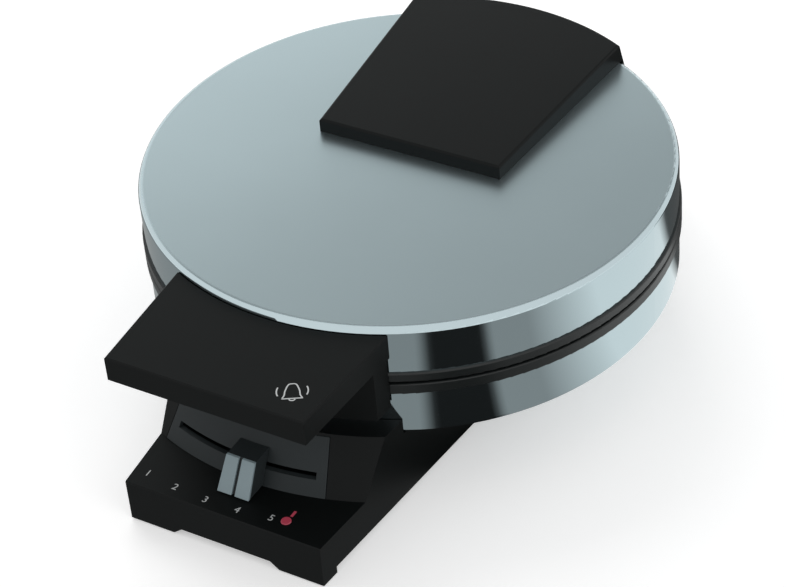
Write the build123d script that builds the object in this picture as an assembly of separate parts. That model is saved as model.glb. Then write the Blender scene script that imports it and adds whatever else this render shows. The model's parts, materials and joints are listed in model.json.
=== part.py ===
"""Heart waffle iron: a hinged lid over a round lower half on a long black foot.

Millimetres, +Z up. The front, with the handle and the browning control, faces -Y, and the hinge is at +Y.
Pieces are drawn about the upright axis of the round body. At the end they all move by one step along Y,
which puts the origin on the floor in the middle of the footprint.
"""

import os
from math import asin, cos, degrees, hypot, radians, sin, sqrt, tan

from build123d import *

# General clearances
GAP = 0.3
SCREW_PLAY = 0.1
PIN_FIXED_PLAY = 0.03
PIN_RUNNING_PLAY = 0.08
SHAFT_ROOM = 1.0
CUT = 1.0

# Round body, from its floor upwards
BODY_R = 115.0
SHEET = 0.8
SHOULDER_R = 2.6
DECK_Z = 35.7
LOWER_BAND_H = 21.3
LOWER_BEAD_H = 5.8
UPPER_BEAD_H = 4.9
LID_CAP_H = 22.3
LOWER_BAND_TOP_Z = DECK_Z + LOWER_BAND_H
PARTING_Z = LOWER_BAND_TOP_Z + LOWER_BEAD_H
LID_BAND_Z = PARTING_Z + UPPER_BEAD_H
LID_TOP_Z = LID_BAND_Z + LID_CAP_H

# Black trim rings
RING_PROUD = 1.0
RING_LIP = 1.5
RING_LIP_H = 4.0
RING_FLANGE = 2.5
PARTING_GAP = 1.0
RING_R = BODY_R + RING_PROUD

# Baking plates
PLATE_INSET = 18.0
PLATE_T = 10.5
PLATE_RIM_GAP = 0.6
PLATE_FLANGE_W = 7.0
PLATE_FLANGE_T = 2.5
PLATE_R = BODY_R - PLATE_INSET
PLATE_FLANGE_R = PLATE_R + PLATE_FLANGE_W

# Hearts: each fills its share of the plate between the rim and the walls to its neighbours
HEARTS = 5
HEART_RIM = 20.7
HEART_WALL = 3.7
HEART_DEPTH = 6.5
HEART_DRAFT = 8.0
HEART_TIP_U = 6.5
HEART_TIP_R = 1.6
HEART_HALF_DEG = 180 / HEARTS
HEART_LOBE_DEG = HEART_HALF_DEG * 5 / 12
HEART_LOBE_GROWTH = sin(radians(HEART_HALF_DEG - HEART_LOBE_DEG)) / cos(radians(HEART_LOBE_DEG))
HEART_LOBE_U = (PLATE_R - HEART_RIM + HEART_WALL / 2) / (1 + HEART_LOBE_GROWTH)
HEART_LOBE_V = HEART_LOBE_U * tan(radians(HEART_LOBE_DEG))
HEART_LOBE_R = HEART_LOBE_U * HEART_LOBE_GROWTH - HEART_WALL / 2
CENTRE_POOL_R = 9.0
PEG_PITCH = 10.6
PEG_SIZE = 7.4
PEG_H = 3.0
PEG_DRAFT = 12.0
PEG_MARGIN = 4.6

# Heating
ELEMENT_INSET = 37.0
ELEMENT_TUBE_R = 3.2
ELEMENT_DROP = 0.6
ELEMENT_ARC = 316.0
ELEMENT_LEG_R = 2.0
ELEMENT_LEG_H = 9.0
ELEMENT_R = PLATE_R - ELEMENT_INSET
SHIELD_INSET = 5.0
SHIELD_T = 0.6
SHIELD_RIM = 3.0
SHIELD_R = PLATE_R - SHIELD_INSET
SHIELD_SCREW_R = 38.0
SHIELD_SCREW_DEG = 60.0
SHIELD_SCREWS = 3
SHIELD_SCREW_DEPTH = 2.5
SHIELD_HOLE_DEPTH = 3.0
FLANGE_SCREWS = 4
FLANGE_SCREW_DEG = 45.0

# Screws
SCREW_R = 1.5
SCREW_HEAD_R = 2.9
SCREW_HEAD_H = 1.6

# Handle
HANDLE_DROP = 3.1
HANDLE_T = 11.5
HANDLE_REACH = 47.1
HANDLE_FRONT_HALF = 45.6
HANDLE_TUCK = 25.0
HANDLE_REAR_HALF = 50.1
HANDLE_WALL = 2.6
HANDLE_CHAMFER = 0.6
SKIRT_OVERLAP = 11.3
SKIRT_T = 8.5
SKIRT_GAP = 1.0
HANDLE_RIBS = 3
HANDLE_SCREW_DEG = 13.0
HANDLE_TOP_Z = LID_TOP_Z - HANDLE_DROP
HANDLE_LOW_Z = HANDLE_TOP_Z - HANDLE_T
HANDLE_FRONT_Y = -BODY_R - HANDLE_REACH
HANDLE_REAR_Y = HANDLE_TUCK - BODY_R
SKIRT_BOTTOM_Z = PARTING_Z - SKIRT_OVERLAP

# Rear cover on the lid
COVER_FRONT_Y = 1.3
COVER_FRONT_HALF = 43.8
COVER_REAR_HALF = 53.0
COVER_FRONT_H = 6.3
COVER_RISE = 3.2
COVER_WALL = 2.4
COVER_TOP_INSET = 2.0
COVER_LIP_PROUD = 2.5
COVER_LIP_H = 5.5
COVER_EDGE = 1.2
COVER_BOSS_R = 4.0
COVER_BOSS_X = 24.0
COVER_BOSS_Y = 58.0
COVER_BOSS_SKIN = 1.0
COVER_FRONT_Z = LID_TOP_Z + COVER_FRONT_H
COVER_REAR_Z = COVER_FRONT_Z + COVER_RISE
COVER_LIP_Z = LID_TOP_Z - COVER_LIP_H
COVER_REAR_TOP_R = BODY_R - COVER_TOP_INSET
COVER_REAR_LOW_R = BODY_R + COVER_LIP_PROUD

# Chassis, the long black foot
CHASSIS_REACH = 47.4
CHASSIS_FRONT_HALF = 46.2
CHASSIS_SPREAD = 0.0945
CHASSIS_MID_Y = -16.0
CHASSIS_TAIL = 18.0
CHASSIS_TAPER_L = 85.0
CHASSIS_WIDE_HALF = 62.0
CHASSIS_REAR_HALF = 46.0
CHASSIS_CORNER_R = 12.0
CHASSIS_BOTTOM_Z = 4.0
CHASSIS_WALL = 2.5
LEDGE_DROP = 14.7
LEDGE_CHAMFER = 0.4
NECK_RISE = 7.5
NECK_FOOT = 16.0
NECK_RAKE_DEG = 32.9
RELIEF_ARC = 120.0
CHASSIS_FRONT_Y = -BODY_R - CHASSIS_REACH
CHASSIS_REAR_Y = BODY_R + CHASSIS_TAIL
CHASSIS_WIDE_Y = CHASSIS_REAR_Y - CHASSIS_TAPER_L
CHASSIS_ROOF_Z = DECK_Z - CHASSIS_WALL
LEDGE_Z = DECK_Z - LEDGE_DROP
NECK_TOP_Z = DECK_Z + NECK_RISE
NECK_FOOT_R = BODY_R + NECK_FOOT
NECK_SLOPE = tan(radians(NECK_RAKE_DEG))

# Feet
FOOT_LENGTH = 21.0
FOOT_DEPTH = 9.0
FOOT_CLEAR_Z = 0.8
FOOT_SLOPE = 4.0
PAD_R = 3.6
PAD_H = 2.6
REAR_FOOT_INSET = 10.0
REAR_FOOT_R = 9.0
REAR_FOOT_END = 12.0
REAR_FOOT_X = CHASSIS_REAR_HALF - REAR_FOOT_INSET
REAR_FOOT_Y = CHASSIS_REAR_Y - REAR_FOOT_END

# Browning control
PIVOT_Y = -10.0
PANEL_LEFT_INSET = 0.75
PANEL_RIGHT_INSET = 12.74
PANEL_T = 2.2
PANEL_DROP = 1.2
SLOT_END_DEG = 2.0
SLOT_ABOVE_LEDGE = 7.3
SLOT_H = 2.6
SLOT_RELIEF = 2.0
SLIDER_REST_DEG = -0.4
LEVER_T = 1.6
LEVER_W = 8.0
LEVER_HUB_R = 9.0
SHAFT_R = 3.0
KNOB_OUT = 11.0
KNOB_GAP = 0.4
KNOB_ABOVE_LEDGE = 0.7
KNOB_H = 13.1
KNOB_HALF_TOP = 6.8
KNOB_HALF_BOTTOM = 7.5
KNOB_POCKET = 7.0
INLAY_T = 0.9
INLAY_GROOVE = 1.6
THERMOSTAT_R = 15.0
THERMOSTAT_H = 11.0
TAB_HALF = 3.0
TAB_L = 8.0
TAB_T = 1.0
TAB_DROP = 7.0
BRACKET_T = 1.0
BRACKET_HALF = 26.0
BRACKET_FOOT = 8.0
BRACKET_W = 14.0
PANEL_LEFT_DEG = degrees(asin((PANEL_LEFT_INSET - CHASSIS_FRONT_HALF) / NECK_FOOT_R))
PANEL_RIGHT_DEG = degrees(asin((CHASSIS_FRONT_HALF - PANEL_RIGHT_INSET) / NECK_FOOT_R))
PANEL_TOP_Z = NECK_TOP_Z - PANEL_DROP
SLOT_LEFT_DEG = PANEL_LEFT_DEG + SLOT_END_DEG
SLOT_RIGHT_DEG = PANEL_RIGHT_DEG - SLOT_END_DEG
SLOT_Z = LEDGE_Z + SLOT_ABOVE_LEDGE
KNOB_BOTTOM_Z = LEDGE_Z + KNOB_ABOVE_LEDGE
KNOB_TOP_Z = KNOB_BOTTOM_Z + KNOB_H

# Signal board and lamp
LAMP_X = 25.8
LAMP_IN = 8.2
LAMP_H = 3.0
LENS_R = 2.2
LENS_PROUD = 0.4
LENS_FLANGE = 1.0
BOARD_DROP = 11.0
BOARD_T = 1.6
BOARD_SIDE = 12.2
BOARD_IN = 4.4
BOARD_L = 30.0
BUZZER_R = 7.0
BUZZER_H = 6.0
BUZZER_X = -14.0
BUZZER_IN = 15.0
BUZZER_HOLE_R = 1.2
BUZZER_HOLE_DEPTH = 1.5
POST_R = 2.5
POST_INSET = 4.0
POST_FRONT_INSET = 10.0
BOARD_Z = LEDGE_Z - BOARD_DROP
BOARD_HALF_X = CHASSIS_FRONT_HALF - BOARD_SIDE
BOARD_FRONT_Y = CHASSIS_FRONT_Y + BOARD_IN
BOARD_REAR_Y = BOARD_FRONT_Y + BOARD_L
LAMP_Y = CHASSIS_FRONT_Y + LAMP_IN
BUZZER_Y = BOARD_FRONT_Y + BUZZER_IN

# Bottom cover
FLOOR_T = 2.0
VENT_COUNT = 7
VENT_PITCH = 8.0
VENT_W = 3.0
VENT_L = 46.0
VENT_Y = 10.0
BOSS_R = 4.2
BOSS_HOLE_DEPTH = 10.0
BOSS_SCREW_DEPTH = 9.0
FRONT_BOSS_SIDE = 5.2
FRONT_BOSS_IN = 46.4
REAR_BOSS_SIDE = 12.0
REAR_BOSS_IN = 59.0
FLOOR_TOP_Z = CHASSIS_BOTTOM_Z + FLOOR_T
FRONT_BOSS_X = CHASSIS_FRONT_HALF - FRONT_BOSS_SIDE
FRONT_BOSS_Y = CHASSIS_FRONT_Y + FRONT_BOSS_IN
REAR_BOSS_X = CHASSIS_WIDE_HALF - REAR_BOSS_SIDE
REAR_BOSS_Y = CHASSIS_REAR_Y - REAR_BOSS_IN

# Hinge
PIN_BEHIND = 9.0
PIN_R = 2.5
EAR_INNER_X = 22.0
EAR_OUTER_X = 33.0
EAR_R = 8.5
BARREL_R = 8.0
BARREL_GAP = 0.4
WEB_GAP = 0.8
BLOCK_BEHIND = 3.0
BLOCK_BELOW_COVER = 2.0
PIN_HEAD_R = 4.0
PIN_HEAD_T = 1.5
PIN_TAIL = 2.5
PIN_GROOVE_R = 1.875
CLIP_T = 1.0
CLIP_R = 4.2
PIN_Y = BODY_R + PIN_BEHIND
BLOCK_REAR_Y = PIN_Y + BLOCK_BEHIND
BLOCK_TOP_Z = COVER_LIP_Z - BLOCK_BELOW_COVER
WEB_TOP_Z = PARTING_Z - BARREL_R - WEB_GAP

# Rear connections
BUSH_H = 12.0
BUSH_R = 6.0
BUSH_FLANGE_R = 8.0
BUSH_FLANGE_T = 2.0
BUSH_BORE_R = 3.6
BUSH_Z = FLOOR_TOP_Z + BUSH_H
TERMINAL_X = 24.0
TERMINAL_IN = 41.0
TERMINAL_L = 30.0
TERMINAL_W = 12.0
TERMINAL_H = 13.0
TERMINAL_BORE_R = 1.8
TERMINAL_BORE_DEPTH = 6.0
TERMINAL_Y = CHASSIS_REAR_Y - TERMINAL_IN
FUSE_R = 2.2
FUSE_L = 22.0
FUSE_LEAD_R = 0.55
FUSE_Y = 22.0
FUSE_CLIP_T = 0.8
FUSE_CLIP_W = 7.0
SHELL_SCREW_X = 40.0
SHELL_SCREW_Y = 30.0
SHELL_SCREW_FRONT_Y = -70.0
SHELL_SCREW_PAST = 0.6
NUT_R = 3.2
NUT_H = 2.4

# Heights of the stack under the parting plane
UPPER_RING_Z = PARTING_Z + PARTING_GAP / 2
LOWER_RING_Z = PARTING_Z - PARTING_GAP / 2
RIM_Z = PARTING_Z - PLATE_RIM_GAP / 2
PLATE_BACK_Z = RIM_Z - PLATE_T
ELEMENT_Z = PLATE_BACK_Z - ELEMENT_DROP
SHIELD_Z = ELEMENT_Z - ELEMENT_TUBE_R - GAP
SHELL_FLOOR_Z = DECK_Z + SHEET
LEVER_TIP_R = NECK_FOOT_R + KNOB_GAP - (SLOT_Z - LEDGE_Z) * NECK_SLOPE + KNOB_POCKET

# The middle of the footprint, seen from the axis of the round body
MIDDLE_Y = (CHASSIS_FRONT_Y + CHASSIS_REAR_Y + BUSH_FLANGE_T) / 2


def slab(x0, x1, y0, y1, z0, z1):
    """A box between two corners."""
    centre = Pos((x0 + x1) / 2, (y0 + y1) / 2, (z0 + z1) / 2)
    return centre * Box(x1 - x0, y1 - y0, z1 - z0)


def disc(radius, z0, z1, x=0.0, y=0.0):
    """An upright cylinder between two heights."""
    return Pos(x, y, (z0 + z1) / 2) * Cylinder(radius, z1 - z0)


def bar(radius, x0, x1, y, z):
    """A cylinder along X."""
    return Pos((x0 + x1) / 2, y, z) * Rot(0, 90, 0) * Cylinder(radius, x1 - x0)


def prism(plan, z0, z1):
    """A flat plan drawn up between two heights."""
    return Pos(0, 0, z0) * extrude(plan, z1 - z0)


def turned(points, start=-90.0, arc=360.0, y=0.0):
    """A profile of (radius, height) points turned about an upright axis, from an angle off +X."""
    face = Plane.XZ * make_face(Polyline(*points, close=True))
    return Pos(0, y, 0) * Rot(0, 0, start) * revolve(face, Axis.Z, arc)


def polar(radius, angle):
    """A point at an angle from the front, positive to the right."""
    return radius * sin(radians(angle)), -radius * cos(radians(angle))


def mirrored(shape):
    """The same shape on the other side of the parting plane."""
    return mirror(shape, Plane.XY.offset(PARTING_Z))


def screw(length, head_r=SCREW_HEAD_R, head_h=SCREW_HEAD_H, shank_r=SCREW_R):
    """A pan head above the origin with its shank hanging down."""
    head = disc(head_r, 0, head_h)
    head = chamfer(head.edges().sort_by(Axis.Z)[-1], head_h / 2)
    return head + disc(shank_r, -length, 0)


def screw_hole(length):
    """The hole that a screw's shank runs in."""
    return disc(SCREW_R + SCREW_PLAY, -length - SCREW_PLAY, SCREW_PLAY)


def group(shapes):
    """Several separate solids in one node."""
    return Compound(children=[solid for shape in shapes for solid in shape.solids()])


def mirrored_group(compound):
    """A group of solids on the other side of the parting plane."""
    return group([mirrored(solid) for solid in compound.solids()])


def on_footprint(shape):
    """A finished node, moved from the body's axis to the middle of the footprint."""
    solids = [Pos(0, -MIDDLE_Y, 0) * solid for solid in shape.solids()]
    return group(solids) if len(solids) > 1 else solids[0]


# Sheet metal halves


def drum(radius, z0, z1, round_top):
    """A cylinder with its top edge rounded."""
    body = disc(radius, z0, z1)
    return fillet(body.edges().sort_by(Axis.Z)[-1], round_top)


def band_screw_places():
    """Where screws go outwards through the lid's band: two for the handle, two for the hinge."""
    height = (HANDLE_LOW_Z + HANDLE_TOP_Z) / 2
    hinge_height = (LID_BAND_Z + BLOCK_TOP_Z) / 2
    handle = [(-90 + side * HANDLE_SCREW_DEG, height) for side in (-1, 1)]
    hinge = [(90 + side * HANDLE_SCREW_DEG / 2, hinge_height) for side in (-1, 1)]
    return handle, hinge


def radial(angle, height):
    """A location on the inside of the band, where a flat screw head seats, whose -Z points outwards."""
    seat = sqrt((BODY_R - SHEET) ** 2 - SCREW_HEAD_R**2)
    return Pos(0, 0, height) * Rot(0, 0, angle) * Pos(seat, 0, 0) * Rot(0, -90, 0)


def lid_shell():
    outer = drum(BODY_R, LID_BAND_Z, LID_TOP_Z, SHOULDER_R)
    inner = drum(BODY_R - SHEET, LID_BAND_Z, LID_TOP_Z - SHEET, SHOULDER_R - SHEET)
    shell = outer - inner
    handle, hinge = band_screw_places()
    for angle, height in handle + hinge:
        shell -= radial(angle, height) * disc(SCREW_R + SCREW_PLAY, -2 * SHEET, SHEET)
    for x, y in cover_boss_places():
        shell -= disc(SCREW_R + SCREW_PLAY, LID_TOP_Z - 2 * SHEET, LID_TOP_Z + SHEET, x, y)
    return shell


def lower_shell():
    depth = LOWER_BAND_TOP_Z - DECK_Z
    outer = drum(BODY_R, 0, depth, SHOULDER_R)
    inner = drum(BODY_R - SHEET, 0, depth - SHEET, SHOULDER_R - SHEET)
    shell = Pos(0, 0, LOWER_BAND_TOP_Z) * Rot(180, 0, 0) * (outer - inner)
    shell -= disc(SHAFT_R + SHAFT_ROOM, DECK_Z - SHEET, SHELL_FLOOR_Z + SHEET, 0, PIVOT_Y)
    for x, y in shell_screw_places():
        shell -= disc(SCREW_R + SCREW_PLAY, DECK_Z - SHEET, SHELL_FLOOR_Z + SHEET, x, y)
    return shell


# Trim rings and baking plates


def flange_screw_places():
    middle = (PLATE_R + PLATE_FLANGE_R) / 2 + GAP
    return [polar(middle, FLANGE_SCREW_DEG + 360 / FLANGE_SCREWS * i) for i in range(FLANGE_SCREWS)]


def trim_ring(band_z):
    """The black collar of the lower half: a bead at the band's edge, a lip inside it and the plate's flange."""
    lip_r = BODY_R - SHEET - GAP
    ring = turned(
        [
            (PLATE_R + GAP, LOWER_RING_Z),
            (RING_R, LOWER_RING_Z),
            (RING_R, band_z),
            (lip_r, band_z),
            (lip_r, band_z - RING_LIP_H),
            (lip_r - RING_LIP, band_z - RING_LIP_H),
            (lip_r - RING_LIP, LOWER_RING_Z - RING_FLANGE),
            (PLATE_R + GAP, LOWER_RING_Z - RING_FLANGE),
        ]
    )
    outer_edges = ring.edges().filter_by(GeomType.CIRCLE).filter_by(lambda e: e.radius > RING_R - 0.1)
    ring = fillet(outer_edges, RING_PROUD * 0.6)
    for x, y in flange_screw_places():
        floor = LOWER_RING_Z - RING_FLANGE
        ring -= disc(SCREW_R + SCREW_PLAY, floor - SHEET, floor + RING_FLANGE - SHEET, x, y)
    return ring


def half_heart(side, inset, z):
    """One lobe joined to the tip by its straight tangents, drawn at a height."""
    tip = Pos(HEART_TIP_U, 0) * Circle(HEART_TIP_R - inset)
    lobe = Pos(HEART_LOBE_U, side * HEART_LOBE_V) * Circle(HEART_LOBE_R - inset)
    return Pos(0, 0, z) * make_hull(tip.edges() + lobe.edges())


def heart_recess():
    """The space of one heart: two drafted half hearts that overlap along the axis."""
    inset = HEART_DEPTH * tan(radians(HEART_DRAFT))
    halves = [
        loft([half_heart(side, 0, RIM_Z), half_heart(side, inset, RIM_Z - HEART_DEPTH)])
        for side in (-1, 1)
    ]
    return halves[0] + halves[1]


def in_heart(u, v, margin):
    """Whether a point lies inside the heart, by the distance to the line from tip to lobe."""
    du = HEART_LOBE_U - HEART_TIP_U
    length = hypot(du, HEART_LOBE_V)
    along = ((u - HEART_TIP_U) * du + abs(v) * HEART_LOBE_V) / length**2
    along = min(max(along, 0.0), 1.0)
    off = hypot(u - HEART_TIP_U - along * du, abs(v) - along * HEART_LOBE_V)
    return off <= HEART_TIP_R + (HEART_LOBE_R - HEART_TIP_R) * along - margin


def heart_pegs():
    """The square pegs that press the pockets of one heart, in rows along its axis."""
    peg = extrude(Rectangle(PEG_SIZE, PEG_SIZE), PEG_H, taper=PEG_DRAFT)
    count = int((HEART_LOBE_U + HEART_LOBE_R) / PEG_PITCH) + 1
    floor = RIM_Z - HEART_DEPTH
    pegs = []
    for row in range(count):
        for column in range(-count, count):
            u = (row + 0.5) * PEG_PITCH
            v = (column + 0.5) * PEG_PITCH
            if in_heart(u, v, PEG_MARGIN):
                pegs.append(Pos(u, v, floor) * peg)
    return pegs


def element_groove():
    """The square channel in the plate's back that the heater sits in."""
    half = ELEMENT_TUBE_R + GAP
    low, high = PLATE_BACK_Z - CUT, ELEMENT_Z + half
    return disc(ELEMENT_R + half, low, high) - disc(ELEMENT_R - half, low, high)


def lower_baking_plate():
    plate = disc(PLATE_R, PLATE_BACK_Z, RIM_Z)
    flange_top = LOWER_RING_Z - RING_FLANGE
    plate += disc(PLATE_FLANGE_R, flange_top - PLATE_FLANGE_T, flange_top)
    recess = heart_recess()
    turns = [Rot(0, 0, -90 + 360 / HEARTS * i) for i in range(HEARTS)]
    for turn in turns:
        plate -= turn * recess
    plate -= disc(CENTRE_POOL_R, RIM_Z - HEART_DEPTH, RIM_Z + SHEET)
    pegs = heart_pegs()
    plate += [turn * peg for turn in turns for peg in pegs]
    plate -= element_groove()
    for x, y in flange_screw_places():
        plate -= disc(SCREW_R + SCREW_PLAY, flange_top - 2 * PLATE_FLANGE_T, flange_top + SHEET, x, y)
    for x, y in shield_screw_places():
        plate -= disc(SCREW_R + SCREW_PLAY, PLATE_BACK_Z - SHEET, PLATE_BACK_Z + SHIELD_HOLE_DEPTH, x, y)
    return plate


# Heating


def shield_screw_places():
    return [polar(SHIELD_SCREW_R, SHIELD_SCREW_DEG + 360 / SHIELD_SCREWS * i) for i in range(SHIELD_SCREWS)]


def element_leg_places():
    half_gap = (360 - ELEMENT_ARC) / 2
    return [polar(ELEMENT_R, 180 + side * half_gap) for side in (-1, 1)]


def lower_heating_element():
    """A bent tubular heater with its two legs turned down, away from the plate."""
    start = 90 + (360 - ELEMENT_ARC) / 2
    section = Plane.XZ * Pos(ELEMENT_R, ELEMENT_Z) * Circle(ELEMENT_TUBE_R)
    tube = Rot(0, 0, start) * revolve(section, Axis.Z, ELEMENT_ARC)
    legs = [
        disc(ELEMENT_LEG_R, ELEMENT_Z - ELEMENT_LEG_H, ELEMENT_Z, x, y)
        for x, y in element_leg_places()
    ]
    return tube + legs


def lower_heat_shield():
    shield = turned(
        [
            (0, SHIELD_Z),
            (SHIELD_R - SHIELD_RIM, SHIELD_Z),
            (SHIELD_R - SHIELD_RIM, PLATE_BACK_Z),
            (SHIELD_R, PLATE_BACK_Z),
            (SHIELD_R, PLATE_BACK_Z - SHIELD_T),
            (SHIELD_R - SHIELD_RIM + SHIELD_T, PLATE_BACK_Z - SHIELD_T),
            (SHIELD_R - SHIELD_RIM + SHIELD_T, SHIELD_Z - SHIELD_T),
            (0, SHIELD_Z - SHIELD_T),
        ]
    )
    low, high = SHIELD_Z - 2 * SHIELD_T, SHIELD_Z + SHIELD_T
    shield -= disc(THERMOSTAT_R + SHAFT_ROOM, low, high, 0, PIVOT_Y)
    for x, y in element_leg_places():
        shield -= disc(ELEMENT_LEG_R + SHAFT_ROOM, low, high, x, y)
    for x, y in shield_screw_places():
        shield -= disc(SCREW_R + SCREW_PLAY, low, high, x, y)
    return shield


def upper_heat_shield():
    """The lid's shield, closed where the lower one lets the thermostat through."""
    shield = mirrored(lower_heat_shield())
    level = 2 * PARTING_Z - SHIELD_Z
    return shield + disc(THERMOSTAT_R + SHAFT_ROOM, level, level + SHIELD_T, 0, PIVOT_Y)


def lower_shield_screws():
    length = SHIELD_T + PLATE_BACK_Z - SHIELD_Z + SHIELD_SCREW_DEPTH
    up = [Pos(x, y, SHIELD_Z - SHIELD_T) * Rot(180, 0, 0) * screw(length) for x, y in shield_screw_places()]
    return group(up)


def lower_flange_screws():
    seat = LOWER_RING_Z - RING_FLANGE - PLATE_FLANGE_T
    length = PLATE_FLANGE_T + RING_FLANGE - 2 * SHEET
    return group([Pos(x, y, seat) * Rot(180, 0, 0) * screw(length) for x, y in flange_screw_places()])


# Handle


def handle_plan():
    front, rear = HANDLE_FRONT_HALF, HANDLE_REAR_HALF
    corners = [
        (-front, HANDLE_FRONT_Y),
        (front, HANDLE_FRONT_Y),
        (rear, HANDLE_REAR_Y),
        (-rear, HANDLE_REAR_Y),
    ]
    return make_face(Polyline(*corners, close=True))


def lid_handle():
    """A flat plate reaching forward from the lid, with a skirt down over the parting line."""
    plan = handle_plan()
    skirt_in = RING_R + SKIRT_GAP
    skirt_out = skirt_in + SKIRT_T
    plate = prism(plan, HANDLE_LOW_Z, HANDLE_TOP_Z)
    top = plate.faces().sort_by(Axis.Z)[-1]
    plate = chamfer(top.edges(), HANDLE_CHAMFER)
    inner = offset(plan, -HANDLE_WALL)
    pocket = prism(inner, HANDLE_LOW_Z, HANDLE_TOP_Z - HANDLE_WALL) - disc(skirt_out, 0, LID_TOP_Z)
    plate -= pocket
    span = 2 * HANDLE_FRONT_HALF
    for i in range(1, HANDLE_RIBS + 1):
        x = -HANDLE_FRONT_HALF + span * i / (HANDLE_RIBS + 1)
        rib = slab(
            x - HANDLE_WALL / 2, x + HANDLE_WALL / 2,
            HANDLE_FRONT_Y + HANDLE_WALL, HANDLE_REAR_Y,
            HANDLE_LOW_Z + HANDLE_WALL, HANDLE_TOP_Z - HANDLE_WALL / 2,
        )
        plate += rib
    plate -= disc(BODY_R + GAP, 0, LID_TOP_Z)
    skirt = prism(plan, SKIRT_BOTTOM_Z, HANDLE_LOW_Z)
    skirt = (skirt & disc(skirt_out, 0, LID_TOP_Z)) - disc(skirt_in, 0, LID_TOP_Z)
    handle = plate + skirt
    for angle, height in band_screw_places()[0]:
        handle -= radial(angle, height) * screw_hole(SHEET + SKIRT_T)
    return handle


def handle_screws():
    return group([radial(a, h) * screw(SHEET + SKIRT_T) for a, h in band_screw_places()[0]])


# Rear cover


def cover_plan(inset=0.0):
    front_half = COVER_FRONT_HALF - inset
    rear_half = COVER_REAR_HALF - inset
    corners = [
        (-front_half, COVER_FRONT_Y + inset),
        (front_half, COVER_FRONT_Y + inset),
        (rear_half, RING_R),
        (-rear_half, RING_R),
    ]
    return make_face(Polyline(*corners, close=True))


def cover_block(inset):
    """The wedge form: a plan with a rising top and a rear wall that leans in about the body's axis."""
    rise = COVER_RISE / (COVER_REAR_TOP_R - COVER_FRONT_Y)
    front = COVER_FRONT_Y + inset
    top = COVER_FRONT_Z - inset
    side = make_face(
        Polyline(
            (front, COVER_LIP_Z),
            (front, top + rise * inset),
            (COVER_REAR_LOW_R, top + rise * (COVER_REAR_LOW_R - COVER_FRONT_Y)),
            (COVER_REAR_LOW_R, COVER_LIP_Z),
            close=True,
        )
    )
    wedge = Pos(-BODY_R, 0, 0) * extrude(Plane.YZ * side, 2 * BODY_R)
    lean = (COVER_REAR_LOW_R - COVER_REAR_TOP_R) / (COVER_REAR_Z - COVER_LIP_Z)
    high = COVER_REAR_Z + CUT
    cone = Pos(0, 0, (COVER_LIP_Z + high) / 2) * Cone(
        COVER_REAR_LOW_R - inset, COVER_REAR_TOP_R - lean * CUT - inset, high - COVER_LIP_Z
    )
    return wedge & prism(cover_plan(inset), COVER_LIP_Z, high) & cone


def cover_boss_places():
    return [(-COVER_BOSS_X, COVER_BOSS_Y), (COVER_BOSS_X, COVER_BOSS_Y)]


def rear_cover():
    block = cover_block(0.0)
    block = fillet(block.faces().sort_by(Axis.Z)[-1].edges(), COVER_EDGE)
    hollow = cover_block(COVER_WALL) & disc(BODY_R - SHOULDER_R - COVER_WALL, LID_TOP_Z, COVER_REAR_Z + CUT)
    cover = block - hollow
    cover += [disc(COVER_BOSS_R, LID_TOP_Z, COVER_FRONT_Z, x, y) for x, y in cover_boss_places()]
    cover -= disc(BODY_R + GAP, 0, LID_TOP_Z)
    for x, y in cover_boss_places():
        cover -= Pos(x, y, LID_TOP_Z) * Rot(180, 0, 0) * screw_hole(COVER_FRONT_H - COVER_BOSS_SKIN)
    return cover


def rear_cover_screws():
    length = SHEET + COVER_FRONT_H - COVER_BOSS_SKIN - 2 * SCREW_PLAY
    seat = LID_TOP_Z - SHEET
    return group([Pos(x, y, seat) * Rot(180, 0, 0) * screw(length) for x, y in cover_boss_places()])


# Hinge


def lid_hinge_block():
    """The lid's hinge leaf: a barrel on the pin and a slab screwed to the band."""
    half = EAR_INNER_X - BARREL_GAP
    slab_part = slab(-half, half, BODY_R - BARREL_R, BLOCK_REAR_Y, PARTING_Z + PARTING_GAP, BLOCK_TOP_Z)
    rear_top = slab_part.edges().filter_by(Axis.X).sort_by(lambda e: e.center().Y + e.center().Z)[-1]
    slab_part = fillet(rear_top, BARREL_R * 0.6)
    slab_part -= disc(BODY_R + GAP, 0, LID_TOP_Z)
    slab_part -= disc(RING_R + GAP, 0, LID_BAND_Z + GAP)
    block = slab_part + bar(BARREL_R, -half, half, PIN_Y, PARTING_Z)
    block -= disc(RING_R + GAP, 0, LID_BAND_Z + GAP)
    block -= bar(PIN_R + PIN_RUNNING_PLAY, -half - CUT, half + CUT, PIN_Y, PARTING_Z)
    for angle, height in band_screw_places()[1]:
        block -= radial(angle, height) * screw_hole(SHEET + BARREL_R)
    return block


def lid_hinge_screws():
    return group([radial(a, h) * screw(SHEET + BARREL_R) for a, h in band_screw_places()[1]])


def hinge_pin():
    pin = bar(PIN_R, -EAR_OUTER_X - PIN_TAIL, EAR_OUTER_X, PIN_Y, PARTING_Z)
    pin += bar(PIN_HEAD_R, EAR_OUTER_X, EAR_OUTER_X + PIN_HEAD_T, PIN_Y, PARTING_Z)
    groove = bar(PIN_HEAD_R, -EAR_OUTER_X - CLIP_T, -EAR_OUTER_X, PIN_Y, PARTING_Z)
    core = bar(PIN_GROOVE_R, -EAR_OUTER_X - CLIP_T, -EAR_OUTER_X, PIN_Y, PARTING_Z)
    return pin - (groove - core)


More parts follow.
